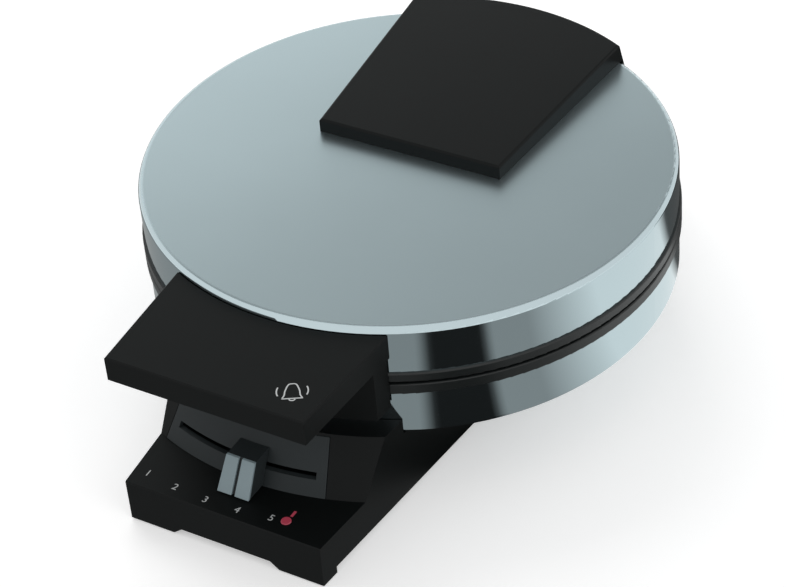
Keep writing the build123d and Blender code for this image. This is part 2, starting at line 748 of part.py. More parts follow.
def hinge_pin_clip():
    """A snap ring with one open side."""
    inner = PIN_GROOVE_R
    ring = bar(CLIP_R, -EAR_OUTER_X - CLIP_T, -EAR_OUTER_X, PIN_Y, PARTING_Z)
    ring -= bar(inner, -EAR_OUTER_X - 2 * CLIP_T, -EAR_OUTER_X + CLIP_T, PIN_Y, PARTING_Z)
    mouth = slab(
        -EAR_OUTER_X - 2 * CLIP_T, -EAR_OUTER_X + CLIP_T,
        PIN_Y - inner, PIN_Y + inner, PARTING_Z, PARTING_Z + 2 * CLIP_R,
    )
    return ring - mouth


# Chassis


def chassis_plan():
    half_at_mid = CHASSIS_FRONT_HALF + CHASSIS_SPREAD * (CHASSIS_MID_Y - CHASSIS_FRONT_Y)
    right = [
        (CHASSIS_FRONT_HALF, CHASSIS_FRONT_Y),
        (half_at_mid, CHASSIS_MID_Y),
        (CHASSIS_WIDE_HALF, CHASSIS_WIDE_Y),
        (CHASSIS_REAR_HALF, CHASSIS_REAR_Y),
    ]
    left = [(-x, y) for x, y in reversed(right)]
    plan = make_face(Polyline(*right, *left, close=True))
    rear = plan.vertices().filter_by(lambda v: v.Y > CHASSIS_REAR_Y - CUT)
    return fillet(rear, CHASSIS_CORNER_R)


def neck_radius(z, inset=0.0):
    """Radius of the raked control face about the pivot at a height."""
    return NECK_FOOT_R - inset - (z - LEDGE_Z) * NECK_SLOPE


def front_relief(inset):
    """Everything above the ledge and in front of the raked control face."""
    low, high = LEDGE_Z - inset, NECK_TOP_Z + CUT
    far = 2 * NECK_FOOT_R
    points = [(neck_radius(low, inset), low), (neck_radius(high, inset), high), (far, high), (far, low)]
    return turned(points, -90 - RELIEF_ARC / 2, RELIEF_ARC, PIVOT_Y)


def chassis_block(inset, top):
    plan = offset(chassis_plan(), -inset) if inset else chassis_plan()
    return prism(plan, CHASSIS_BOTTOM_Z, top) - front_relief(inset)


def neck():
    """The part of the foot that rises in front of the lower band."""
    front = slab(-BODY_R, BODY_R, CHASSIS_FRONT_Y, -BODY_R / 2, DECK_Z, NECK_TOP_Z)
    block = prism(chassis_plan(), DECK_Z, NECK_TOP_Z) & front
    return block - disc(BODY_R + GAP, DECK_Z, NECK_TOP_Z) - front_relief(0)


def front_foot(side):
    """A corner foot with one sloped end, cut to the chassis plan."""
    outer = CHASSIS_FRONT_HALF + FOOT_SLOPE
    inner = CHASSIS_FRONT_HALF - FOOT_LENGTH
    points = [
        (side * outer, CHASSIS_BOTTOM_Z),
        (side * outer, FOOT_CLEAR_Z),
        (side * inner, FOOT_CLEAR_Z),
        (side * (inner - FOOT_SLOPE), CHASSIS_BOTTOM_Z),
    ]
    face = Plane.XZ * make_face(Polyline(*points, close=True))
    block = Pos(0, CHASSIS_FRONT_Y + FOOT_DEPTH, 0) * extrude(face, FOOT_DEPTH)
    return block & prism(chassis_plan(), FOOT_CLEAR_Z, CHASSIS_BOTTOM_Z)


def pad_places():
    front_x = CHASSIS_FRONT_HALF - FOOT_LENGTH / 2
    front_y = CHASSIS_FRONT_Y + FOOT_DEPTH / 2
    return [
        (-front_x, front_y),
        (front_x, front_y),
        (-REAR_FOOT_X, REAR_FOOT_Y),
        (REAR_FOOT_X, REAR_FOOT_Y),
    ]


def foot_floor(grow=0.0):
    """The strips of chassis floor that carry the feet, with room round them for the cover."""
    inner_plan = offset(chassis_plan(), -CHASSIS_WALL / 2)
    top = FLOOR_TOP_Z
    front = slab(-BODY_R, BODY_R, CHASSIS_FRONT_Y, CHASSIS_FRONT_Y + FOOT_DEPTH + grow, CHASSIS_BOTTOM_Z, top)
    rear = [
        slab(
            side * REAR_FOOT_X - REAR_FOOT_R - grow, side * REAR_FOOT_X + REAR_FOOT_R + grow,
            REAR_FOOT_Y - REAR_FOOT_R - grow, CHASSIS_REAR_Y,
            CHASSIS_BOTTOM_Z, top,
        )
        for side in (-1, 1)
    ]
    return (front + rear) & prism(inner_plan, CHASSIS_BOTTOM_Z, top)


def boss_places():
    return [
        (-FRONT_BOSS_X, FRONT_BOSS_Y),
        (FRONT_BOSS_X, FRONT_BOSS_Y),
        (-REAR_BOSS_X, REAR_BOSS_Y),
        (REAR_BOSS_X, REAR_BOSS_Y),
    ]


def shell_screw_places():
    return [(-SHELL_SCREW_X, SHELL_SCREW_Y), (SHELL_SCREW_X, SHELL_SCREW_Y), (0, SHELL_SCREW_FRONT_Y)]


def hinge_pillar():
    """A pillar behind the lower band that ends in two ears with the pin's bores."""
    top = PARTING_Z
    ear_front = PIN_Y - EAR_R
    ear_rear = PIN_Y + EAR_R
    web = slab(-EAR_OUTER_X, EAR_OUTER_X, BODY_R - BARREL_R, ear_rear, DECK_Z, WEB_TOP_Z)
    pillar = web
    for side in (-1, 1):
        x0, x1 = sorted((side * EAR_INNER_X, side * EAR_OUTER_X))
        pillar += slab(x0, x1, ear_front, ear_rear, WEB_TOP_Z, top)
        pillar += bar(EAR_R, x0, x1, PIN_Y, top)
    pillar -= disc(RING_R + GAP, DECK_Z, LID_TOP_Z)
    return pillar - bar(PIN_R + PIN_FIXED_PLAY, -EAR_OUTER_X - CUT, EAR_OUTER_X + CUT, PIN_Y, PARTING_Z)


def panel_sector(play, inner, z0, z1):
    """A piece of the raked face's wall between the panel's ends."""
    points = [
        (neck_radius(z0) + GAP, z0),
        (neck_radius(z1) + GAP, z1),
        (neck_radius(z1, inner), z1),
        (neck_radius(z0, inner), z0),
    ]
    margin = degrees(play / NECK_FOOT_R)
    arc = PANEL_RIGHT_DEG - PANEL_LEFT_DEG + 2 * margin
    return turned(points, -90 + PANEL_LEFT_DEG - margin, arc, PIVOT_Y)


def slot_sector(grow):
    """The arc slot that the lever runs in."""
    z0, z1 = SLOT_Z - SLOT_H / 2 - grow, SLOT_Z + SLOT_H / 2 + grow
    margin = degrees(grow / NECK_FOOT_R)
    near, far = neck_radius(z1, 4 * CHASSIS_WALL), NECK_FOOT_R + CUT
    points = [(near, z0), (far, z0), (far, z1), (near, z1)]
    arc = SLOT_RIGHT_DEG - SLOT_LEFT_DEG + 2 * margin
    return turned(points, -90 + SLOT_LEFT_DEG - margin, arc, PIVOT_Y)


def base_chassis():
    chassis = chassis_block(0, DECK_Z) + neck() + hinge_pillar()
    chassis -= chassis_block(CHASSIS_WALL, CHASSIS_ROOF_Z) & slab(
        -BODY_R, BODY_R, CHASSIS_FRONT_Y, CHASSIS_REAR_Y, 0, CHASSIS_ROOF_Z
    )
    front_edge = chassis.edges().filter_by(Axis.X).filter_by(
        lambda e: abs(e.center().Y - CHASSIS_FRONT_Y) < 0.1 and abs(e.center().Z - LEDGE_Z) < 0.1
    )
    chassis = chamfer(front_edge, LEDGE_CHAMFER)
    chassis += foot_floor()
    chassis += [front_foot(side) for side in (-1, 1)]
    chassis += [
        disc(REAR_FOOT_R, FOOT_CLEAR_Z, CHASSIS_BOTTOM_Z, side * REAR_FOOT_X, REAR_FOOT_Y) for side in (-1, 1)
    ]
    chassis += [disc(BOSS_R, FLOOR_TOP_Z, CHASSIS_ROOF_Z, x, y) for x, y in boss_places()]
    back_wall = panel_sector(0, 3 * CHASSIS_WALL, LEDGE_Z, CHASSIS_ROOF_Z) & chassis_block(0, DECK_Z)
    chassis += back_wall
    chassis -= panel_sector(GAP, PANEL_T + GAP, LEDGE_Z - GAP, PANEL_TOP_Z + GAP)
    chassis -= slot_sector(SLOT_RELIEF)
    for x, y in boss_places():
        chassis -= disc(SCREW_R + SCREW_PLAY, FLOOR_TOP_Z - CUT, FLOOR_TOP_Z + BOSS_HOLE_DEPTH, x, y)
    for x, y in pad_places():
        chassis -= disc(PAD_R + SCREW_PLAY, 0, PAD_H, x, y)
    for x, y in shell_screw_places():
        chassis -= disc(SCREW_R + SCREW_PLAY, CHASSIS_ROOF_Z - CUT, DECK_Z + CUT, x, y)
    chassis -= disc(SHAFT_R + SHAFT_ROOM, CHASSIS_ROOF_Z - CUT, DECK_Z + CUT, 0, PIVOT_Y)
    chassis -= disc(LENS_R + SCREW_PLAY, LEDGE_Z - 2 * CHASSIS_WALL, LEDGE_Z + CUT, LAMP_X, LAMP_Y)
    chassis -= Pos(0, CHASSIS_REAR_Y, BUSH_Z) * Rot(90, 0, 0) * Cylinder(BUSH_R + SCREW_PLAY, 4 * CHASSIS_WALL)
    return chassis


def bottom_cover():
    plan = offset(chassis_plan(), -CHASSIS_WALL - GAP)
    floor = prism(plan, CHASSIS_BOTTOM_Z, FLOOR_TOP_Z)
    floor -= foot_floor(GAP)
    for i in range(VENT_COUNT):
        x = (i - (VENT_COUNT - 1) / 2) * VENT_PITCH
        slot = Pos(x, VENT_Y) * Rot(0, 0, 90) * SlotOverall(VENT_L, VENT_W)
        floor -= prism(slot, CHASSIS_BOTTOM_Z - CUT, FLOOR_TOP_Z + CUT)
    for x, y in boss_places():
        floor -= disc(SCREW_R + SCREW_PLAY, CHASSIS_BOTTOM_Z - CUT, FLOOR_TOP_Z + CUT, x, y)
    floor += [disc(POST_R, FLOOR_TOP_Z, BOARD_Z, x, y) for x, y in post_places()]
    return floor


def bottom_cover_screws():
    length = FLOOR_T + BOSS_SCREW_DEPTH
    return group(
        [Pos(x, y, CHASSIS_BOTTOM_Z) * Rot(180, 0, 0) * screw(length) for x, y in boss_places()]
    )


def rubber_feet():
    return group([disc(PAD_R, 0, PAD_H, x, y) for x, y in pad_places()])


def shell_screws():
    length = CHASSIS_WALL + SHEET + NUT_H + SHELL_SCREW_PAST
    return group(
        [Pos(x, y, CHASSIS_ROOF_Z) * Rot(180, 0, 0) * screw(length) for x, y in shell_screw_places()]
    )


def shell_nuts():
    nut = extrude(RegularPolygon(NUT_R, 6), NUT_H) - disc(SCREW_R + SCREW_PLAY, -CUT, NUT_H + CUT)
    return group([Pos(x, y, SHELL_FLOOR_Z) * nut for x, y in shell_screw_places()])


# Browning control


def control_panel():
    """The grey insert on the raked face, bent to the slider's arc, with its slot."""
    z0, z1 = LEDGE_Z, PANEL_TOP_Z
    points = [
        (neck_radius(z0), z0),
        (neck_radius(z1), z1),
        (neck_radius(z1, PANEL_T), z1),
        (neck_radius(z0, PANEL_T), z0),
    ]
    arc = PANEL_RIGHT_DEG - PANEL_LEFT_DEG
    panel = turned(points, -90 + PANEL_LEFT_DEG, arc, PIVOT_Y)
    return panel - slot_sector(0)


def at_slider(shape):
    """Places a shape drawn about the pivot, pointing to the front, at the slider's rest angle."""
    return Pos(0, PIVOT_Y, 0) * Rot(0, 0, SLIDER_REST_DEG) * shape


def slider_lever():
    """The steel arm from the shaft to the knob."""
    z0, z1 = SLOT_Z - LEVER_T / 2, SLOT_Z + LEVER_T / 2
    arm = slab(-LEVER_W / 2, LEVER_W / 2, -LEVER_TIP_R, 0, z0, z1)
    arm += disc(LEVER_HUB_R, z0, z1)
    arm -= disc(SHAFT_R + PIN_FIXED_PLAY, z0 - CUT, z1 + CUT)
    return at_slider(arm)


def slider_shaft():
    return at_slider(disc(SHAFT_R, SLOT_Z - LEVER_T, PLATE_BACK_Z - THERMOSTAT_H * 0.6))


def knob_side():
    """Side outline of the knob: parallel to the raked face, at (forward, height)."""
    back_low = neck_radius(KNOB_BOTTOM_Z) - CUT
    front_low = neck_radius(KNOB_BOTTOM_Z) + KNOB_OUT
    front_high = neck_radius(KNOB_TOP_Z) + KNOB_OUT
    back_high = neck_radius(KNOB_TOP_Z) - CUT
    return [
        (-back_low, KNOB_BOTTOM_Z),
        (-front_low, KNOB_BOTTOM_Z),
        (-front_high, KNOB_TOP_Z),
        (-back_high, KNOB_TOP_Z),
    ]


def knob_block():
    side = Plane.YZ * make_face(Polyline(*knob_side(), close=True))
    block = Pos(-2 * KNOB_HALF_BOTTOM, 0, 0) * extrude(side, 4 * KNOB_HALF_BOTTOM)
    front = Plane.XZ * make_face(
        Polyline(
            (-KNOB_HALF_BOTTOM, KNOB_BOTTOM_Z),
            (KNOB_HALF_BOTTOM, KNOB_BOTTOM_Z),
            (KNOB_HALF_TOP, KNOB_TOP_Z),
            (-KNOB_HALF_TOP, KNOB_TOP_Z),
            close=True,
        )
    )
    return block & extrude(front, 2 * NECK_FOOT_R)


def inside_neck(play):
    """The body of the raked face about the pivot, with play added."""
    low, high = KNOB_BOTTOM_Z - CUT, KNOB_TOP_Z + CUT
    points = [(0, low), (neck_radius(low) + play, low), (neck_radius(high) + play, high), (0, high)]
    return turned(points)


def inlay_zone():
    """The slice at the knob's front that holds the two pale pads."""
    shift = Pos(0, INLAY_T / cos(radians(NECK_RAKE_DEG)), 0)
    return knob_block() - shift * knob_block()


def pads():
    z0, z1 = KNOB_BOTTOM_Z - CUT, KNOB_TOP_Z + CUT
    pad_half = KNOB_HALF_BOTTOM + CUT
    left = slab(-pad_half, -INLAY_GROOVE / 2, -2 * NECK_FOOT_R, 0, z0, z1)
    right = slab(INLAY_GROOVE / 2, pad_half, -2 * NECK_FOOT_R, 0, z0, z1)
    zone = inlay_zone() & slab(
        -pad_half, pad_half, -2 * NECK_FOOT_R, -neck_radius(KNOB_TOP_Z) - KNOB_OUT / 2, z0, z1
    )
    return [zone & left, zone & right]


def slider_knob():
    knob = knob_block() - inside_neck(KNOB_GAP)
    half, middle = 2 * KNOB_HALF_BOTTOM, -neck_radius(KNOB_TOP_Z) - KNOB_OUT / 2
    knob -= inlay_zone() & slab(-half, half, -2 * NECK_FOOT_R, middle, 0, KNOB_TOP_Z + CUT)
    z0, z1 = SLOT_Z - LEVER_T / 2, SLOT_Z + LEVER_T / 2
    half = LEVER_W / 2 + SCREW_PLAY
    knob -= slab(-half, half, -LEVER_TIP_R - SCREW_PLAY, 0, z0 - SCREW_PLAY, z1 + SCREW_PLAY)
    return at_slider(knob)


def slider_inlay():
    return group([at_slider(pad) for pad in pads()])


def thermostat():
    """The capsule pressed to the plate's back, bored for the control shaft."""
    top = PLATE_BACK_Z
    body = disc(THERMOSTAT_R, top - THERMOSTAT_H, top)
    reach = THERMOSTAT_R + TAB_L
    body += slab(-reach, reach, -TAB_HALF, TAB_HALF, top - TAB_DROP, top - TAB_DROP + TAB_T)
    body -= disc(SHAFT_R + PIN_RUNNING_PLAY, top - THERMOSTAT_H - CUT, top - THERMOSTAT_H / 2)
    return Pos(0, PIVOT_Y, 0) * body


def thermostat_bracket():
    """A bent steel strap from the shell's floor up to the thermostat."""
    seat = PLATE_BACK_Z - THERMOSTAT_H
    leg = BRACKET_HALF - BRACKET_FOOT
    right = [
        (BRACKET_HALF, SHELL_FLOOR_Z),
        (BRACKET_HALF, SHELL_FLOOR_Z + BRACKET_T),
        (leg + BRACKET_T, SHELL_FLOOR_Z + BRACKET_T),
        (leg + BRACKET_T, seat),
    ]
    under = [
        (leg, seat - BRACKET_T),
        (leg, SHELL_FLOOR_Z),
    ]
    outline = right + [(-x, z) for x, z in reversed(right)]
    outline += [(-x, z) for x, z in reversed(under)] + under
    face = Plane.XZ * make_face(Polyline(*outline, close=True))
    strap = Pos(0, PIVOT_Y + BRACKET_W / 2, 0) * extrude(face, BRACKET_W)
    return strap - disc(SHAFT_R + SHAFT_ROOM, SHELL_FLOOR_Z, seat + CUT, 0, PIVOT_Y)


# Signal board and lamp


def post_places():
    x = BOARD_HALF_X - POST_INSET
    rows = (BOARD_FRONT_Y + POST_FRONT_INSET, BOARD_REAR_Y - POST_INSET)
    return [(side * x, y) for side in (-1, 1) for y in rows]


def signal_board():
    return slab(-BOARD_HALF_X, BOARD_HALF_X, BOARD_FRONT_Y, BOARD_REAR_Y, BOARD_Z, BOARD_Z + BOARD_T)


def signal_buzzer():
    top = BOARD_Z + BOARD_T
    body = disc(BUZZER_R, top, top + BUZZER_H, BUZZER_X, BUZZER_Y)
    high = top + BUZZER_H
    return body - disc(BUZZER_HOLE_R, high - BUZZER_HOLE_DEPTH, high + CUT, BUZZER_X, BUZZER_Y)


def pilot_lamp():
    top = BOARD_Z + BOARD_T
    lamp = disc(LENS_R * 0.8, top, top + LAMP_H, LAMP_X, LAMP_Y)
    return fillet(lamp.edges().sort_by(Axis.Z)[-1], LENS_R * 0.5)


def pilot_lamp_lens():
    low = BOARD_Z + BOARD_T + LAMP_H + GAP
    lens = disc(LENS_R, low, LEDGE_Z + LENS_PROUD, LAMP_X, LAMP_Y)
    lens = fillet(lens.edges().sort_by(Axis.Z)[-1], LENS_PROUD * 0.8)
    return lens + disc(LENS_R + LENS_FLANGE, low, LEDGE_Z - CHASSIS_WALL, LAMP_X, LAMP_Y)


# Rear connections


def cord_bush():
    """A flanged bush in the rear wall, bored for a lead."""
    wall = CHASSIS_WALL
    spool = [
        (BUSH_BORE_R, -BUSH_FLANGE_T),
        (BUSH_FLANGE_R, -BUSH_FLANGE_T),
        (BUSH_FLANGE_R, 0),
        (BUSH_R, 0),
        (BUSH_R, wall),
        (BUSH_FLANGE_R, wall),
        (BUSH_FLANGE_R, wall + BUSH_FLANGE_T),
        (BUSH_BORE_R, wall + BUSH_FLANGE_T),
    ]
    return Pos(0, CHASSIS_REAR_Y, BUSH_Z) * Rot(90, 0, 0) * turned(spool)


def terminal_block():
    x0, y0 = TERMINAL_X, TERMINAL_Y
    high = FLOOR_TOP_Z + TERMINAL_H
    block = slab(
        x0 - TERMINAL_L / 2, x0 + TERMINAL_L / 2,
        y0 - TERMINAL_W / 2, y0 + TERMINAL_W / 2,
        FLOOR_TOP_Z, high,
    )
    for i in (-1, 0, 1):
        block -= disc(TERMINAL_BORE_R, high - TERMINAL_BORE_DEPTH, high + CUT, x0 + i * TERMINAL_L / 3, y0)
    return block


def thermal_fuse():
    z = SHIELD_Z - SHIELD_T - FUSE_R
    fuse = bar(FUSE_R, -FUSE_L / 2, FUSE_L / 2, FUSE_Y, z)
    return fuse + bar(FUSE_LEAD_R, -FUSE_L, FUSE_L, FUSE_Y, z)


def fuse_clip():
    """A saddle that holds the fuse to the shield."""
    high = SHIELD_Z - SHIELD_T
    z = high - FUSE_R
    arch_r = FUSE_R + SCREW_PLAY
    out_r = arch_r + FUSE_CLIP_T
    half = FUSE_CLIP_W / 2
    arch = bar(out_r, -half, half, FUSE_Y, z) + slab(-half, half, FUSE_Y - out_r, FUSE_Y + out_r, z, high)
    arch += slab(-half, half, FUSE_Y - 2.5 * out_r, FUSE_Y + 2.5 * out_r, high - FUSE_CLIP_T, high)
    arch -= bar(arch_r, -half - CUT, half + CUT, FUSE_Y, z)
    arch -= slab(-half - CUT, half + CUT, FUSE_Y - arch_r, FUSE_Y + arch_r, z, high + CUT)
    return arch & slab(-half, half, FUSE_Y - 3 * out_r, FUSE_Y + 3 * out_r, z - out_r, high)


NODES = {
    "lid_shell": lid_shell,
    "upper_trim_ring": lambda: mirrored(trim_ring(2 * PARTING_Z - LID_BAND_Z)),
    "upper_baking_plate": lambda: mirrored(lower_baking_plate()),
    "upper_heating_element": lambda: mirrored(lower_heating_element()),
    "upper_heat_shield": upper_heat_shield,
    "upper_shield_screws": lambda: mirrored_group(lower_shield_screws()),
    "upper_flange_screws": lambda: mirrored_group(lower_flange_screws()),
    "lid_handle": lid_handle,
    "handle_screws": handle_screws,
    "rear_cover": rear_cover,
    "rear_cover_screws": rear_cover_screws,
    "lid_hinge_block": lid_hinge_block,
    "lid_hinge_screws": lid_hinge_screws,
    "base_chassis": base_chassis,
    "bottom_cover": bottom_cover,
    "bottom_cover_screws": bottom_cover_screws,
    "rubber_feet": rubber_feet,
    "lower_shell": lower_shell,
    "shell_screws": shell_screws,
    "shell_nuts": shell_nuts,
    "lower_trim_ring": lambda: trim_ring(LOWER_BAND_TOP_Z),
    "lower_baking_plate": lower_baking_plate,
    "lower_heating_element": lower_heating_element,
    "lower_heat_shield": lower_heat_shield,
    "lower_shield_screws": lower_shield_screws,
    "lower_flange_screws": lower_flange_screws,
    "hinge_pin": hinge_pin,
    "hinge_pin_clip": hinge_pin_clip,
    "control_panel": control_panel,
    "thermostat": thermostat,
    "thermostat_bracket": thermostat_bracket,
    "thermal_fuse": thermal_fuse,
    "fuse_clip": fuse_clip,
    "signal_board": signal_board,
    "signal_buzzer": signal_buzzer,
    "pilot_lamp": pilot_lamp,
    "pilot_lamp_lens": pilot_lamp_lens,
    "cord_bush": cord_bush,
    "terminal_block": terminal_block,
    "slider_lever": slider_lever,
    "slider_shaft": slider_shaft,
    "slider_knob": slider_knob,
    "slider_inlay": slider_inlay,
}


os.makedirs("parts", exist_ok=True)
for name, make in NODES.items():
    export_step(on_footprint(make()), f"parts/{name}.step")
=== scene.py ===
"""Looks of a heart waffle iron: the finish of every part, the printed marks and the studio."""

import json
from math import cos, radians, sin

import bpy
import numpy as np
from bpy.props import FloatProperty, FloatVectorProperty, PointerProperty
from bpy.types import Operator, Panel, PropertyGroup
from mathutils import Matrix, Vector


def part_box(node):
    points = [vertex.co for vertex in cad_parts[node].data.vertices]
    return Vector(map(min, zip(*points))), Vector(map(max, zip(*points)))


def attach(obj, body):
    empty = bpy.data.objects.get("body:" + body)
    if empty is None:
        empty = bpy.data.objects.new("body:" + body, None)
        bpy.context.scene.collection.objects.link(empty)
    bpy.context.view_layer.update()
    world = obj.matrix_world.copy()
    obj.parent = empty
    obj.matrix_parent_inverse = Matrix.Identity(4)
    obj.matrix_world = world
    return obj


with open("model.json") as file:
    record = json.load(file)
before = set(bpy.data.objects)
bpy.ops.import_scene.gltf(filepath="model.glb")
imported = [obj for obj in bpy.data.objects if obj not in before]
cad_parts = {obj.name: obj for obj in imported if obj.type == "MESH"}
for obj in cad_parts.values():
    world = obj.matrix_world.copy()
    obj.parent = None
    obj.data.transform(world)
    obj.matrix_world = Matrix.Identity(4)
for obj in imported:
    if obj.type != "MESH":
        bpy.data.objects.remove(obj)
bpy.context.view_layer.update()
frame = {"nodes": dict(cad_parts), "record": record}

bl_info = {
    "name": "Heart waffle iron looks",
    "version": (1, 0, 0),
    "blender": (4, 5, 0),
    "location": "3D View > Sidebar > Waffle Iron",
    "description": "Finishes, printed marks and studio for a heart waffle iron",
    "category": "Object",
}

MM = 0.001

# The photograph's view
IMAGE_WIDTH = 786
FOCAL_PIXELS = 2490.9
SENSOR_MM = 36.0
CAMERA_PLACE = Vector((457.5, -718.8, 703.6)) * MM
CAMERA_AZIMUTH = radians(32.734)
CAMERA_ELEVATION = radians(38.5)
CAMERA_ROLL = radians(-5.222)

# Heights and edges taken from the frame
LEDGE_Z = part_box("control_panel")[0].z
HANDLE_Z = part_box("lid_handle")[1].z
LID_LOW, LID_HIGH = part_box("lid_shell")
LID_RIM_R = LID_HIGH.x
LID_TOP_Z = LID_HIGH.z
SHOULDER_R = 2.6 * MM
BODY_AXIS = Vector((0.0, (LID_LOW.y + LID_HIGH.y) / 2, 0.0))

# Printed marks: the number, then its place on the ledge
NUMBER_PLACES = {
    "1": (-40.3, -140.7),
    "2": (-25.6, -142.9),
    "3": (-10.4, -143.9),
    "4": (4.6, -143.5),
    "5": (19.5, -141.6),
}
LAMP_MARK_PLACE = (26.4, -135.8)
BELL_PLACE = (32.4, -134.4)
BELL_TURN = radians(30)
PRINT_THICKNESS = 0.04 * MM
CAPITAL_SHARE = 0.7

# The bell in shares of its height, measured from its middle
BELL_CROWN = 0.10
BELL_BODY = 0.24
BELL_SHOULDER = 1.9
BELL_FLARE = 0.16
BELL_FLARE_POWER = 7
BELL_RIM = 0.5
BELL_POINTS = 24
RINGING_R = 0.72
RINGING_HALF = radians(24)
CLAPPER_R = 0.15
CLAPPER_SPAN = (radians(200), radians(340))
ARC_POINTS = 10

# Grains per metre, and how far they move the roughness or the tint
CLOUD_SCALE = 22.0
GLOSS_CHANGE = 0.06
ROLLED_SCALE = 2600.0
ROLLED_STRETCH = (1.0, 0.25, 1.0)
STEEL_CLOUD_SCALE = 14.0
STEEL_CHANGE = 0.04

# The steel's roughness, and the distances from the axis between which satin turns into polish
SATIN_ROUGHNESS = (0.30, 0.38)
POLISHED_ROUGHNESS = 0.07
POLISH_START = LID_RIM_R - SHOULDER_R
POLISH_END = LID_RIM_R - SHOULDER_R / 3

# Colours of what the lid and the foot hide
ZINC_PLATE = (0.55, 0.56, 0.54)
GROUND_STEEL = (0.62, 0.63, 0.64)
ANNEALED_STEEL = (0.22, 0.19, 0.17)
MILL_ALUMINIUM = (0.72, 0.73, 0.74)
FOOT_RUBBER = (0.018, 0.018, 0.018)
BAKING_COATING = (0.028, 0.028, 0.030)
CERAMIC = (0.62, 0.60, 0.55)
BOARD_LACQUER = (0.03, 0.14, 0.06)
LAMP_GLASS = (0.95, 0.80, 0.70)

# How many times lighter the collars are painted than the other black plastic: a painted highlight, the
# light that the collars catch put into their colour
TRIM_PAINTED_HIGHLIGHT_LIFT = 2.4

# A square's corners in halves of its side, the floor and the lamps in metres
SQUARE = ((-1, -1), (1, -1), (1, 1), (-1, 1))
FLOOR_HALF = 3.0
FLOOR_GLOW = 0.42
LAMP_TARGET = Vector((0, 0, 0.05))
KEY_PLACE, KEY_SIZE = (-0.9, 0.7, 1.3), 1.2
SIDE_PLACE, SIDE_SIZE = (1.2, -0.4, 0.9), 0.8

# A wall that the lid mirrors: its distance, half width and glows, the shares of right and up in the
# direction in which it brightens, and the stretch along that direction in which it does
WALL_AWAY = 0.5
WALL_HALF = 0.45
WALL_GLOWS = (0.42, 1.0)
WALL_BRIGHT_RIGHT, WALL_BRIGHT_UP = -0.33, -0.94
WALL_FADE = (-0.02, 0.10)

# A ring round the foot that the polished bands mirror: each bearing in degrees, from the front
# towards +X, with its glow
RING_RADII = (0.07, 0.45)
RING_HEIGHT = 0.5 * MM
RING_STEPS = 96
RING_GLOWS = (
    (-180, 0.33), (30, 0.33), (34, 0.01), (50, 0.01), (53, 0.35), (65, 0.35),
    (90, 1.0), (125, 1.0), (131, 0.08), (160, 0.08), (180, 0.33),
)

# Paint and glow of the wall and the ring
MIRRORED_BLACK = (0.01, 0.01, 0.01)
MIRRORED_WHITE = (0.97, 1.0, 1.0, 1.0)

# A Mix node's sockets by place, because several share one name
MIX_FACTOR, MIX_VALUE_A, MIX_VALUE_B, MIX_COLOUR_A, MIX_COLOUR_B = 0, 2, 3, 6, 7
MIX_COLOUR_OUT = 2


class WaffleColours(PropertyGroup):
    """Colours that a user may change."""

    steel: FloatVectorProperty(
        name="Steel", description="Tint of the satin and polished steel", subtype="COLOR",
        default=(0.51, 0.61, 0.64), min=0, max=1,
    )
    black: FloatVectorProperty(
        name="Black plastic", description="Handle, rear cover and foot", subtype="COLOR",
        default=(0.0045, 0.0055, 0.0055), min=0, max=1,
    )
    grey: FloatVectorProperty(
        name="Grey plastic", description="Control panel and slider knob", subtype="COLOR",
        default=(0.027, 0.033, 0.035), min=0, max=1,
    )
    # Pale colour of the knob's front pads: a painted highlight, the light that the front face catches put
    # into the colour of a knob that is grey plastic throughout
    front_pads_painted_highlight: FloatVectorProperty(
        name="Pale grey plastic", description="Pads on the front of the slider knob", subtype="COLOR",
        default=(0.30, 0.385, 0.415), min=0, max=1,
    )
    mark: FloatVectorProperty(
        name="Printed marks", description="Numbers and bell", subtype="COLOR",
        default=(0.55, 0.57, 0.57), min=0, max=1,
    )
    red: FloatVectorProperty(
        name="Red", description="Lamp lens and the dash beside it", subtype="COLOR",
        default=(0.62, 0.075, 0.125), min=0, max=1,
    )


class WaffleSizes(PropertyGroup):
    """Sizes of the printed marks."""

    number_height: FloatProperty(
        name="Number height", description="Height of the numbers 1 to 5", unit="LENGTH",
        default=3.4 * MM,
    )
    bell_height: FloatProperty(
        name="Bell height", description="Height of the bell mark", unit="LENGTH",
        default=8.5 * MM,
    )
    line_width: FloatProperty(
        name="Line width", description="Width of the bell's outline", unit="LENGTH",
        default=0.55 * MM,
    )
    dash_length: FloatProperty(
        name="Dash length", description="Length of the red dash", unit="LENGTH",
        default=3.4 * MM,
    )
    dash_width: FloatProperty(
        name="Dash width", description="Width of the red dash", unit="LENGTH",
        default=1.2 * MM,
    )


class WaffleStudio(PropertyGroup):
    """Light and floor of the studio."""

    key_power: FloatProperty(
        name="Key power", description="Watts of the large soft light", default=9.0, min=0,
    )
    side_power: FloatProperty(
        name="Side power", description="Watts of the side light", default=3.0, min=0,
    )
    sky: FloatProperty(
        name="Sky", description="Strength of the even light", default=0.55, min=0,
    )
    floor: FloatVectorProperty(
        name="Floor", description="Colour of the floor", subtype="COLOR",
        default=(0.86, 0.86, 0.86), min=0, max=1,
    )


# Node helpers


def new_material(name, colour, roughness, metallic=0.0):
    """A material with one principled shader."""
    material = bpy.data.materials.new(name)
    material.use_nodes = True
    shader = material.node_tree.nodes["Principled BSDF"]
    shader.inputs["Base Color"].default_value = (*colour, 1.0)
    shader.inputs["Roughness"].default_value = roughness
    shader.inputs["Metallic"].default_value = metallic
    return material, material.node_tree, shader


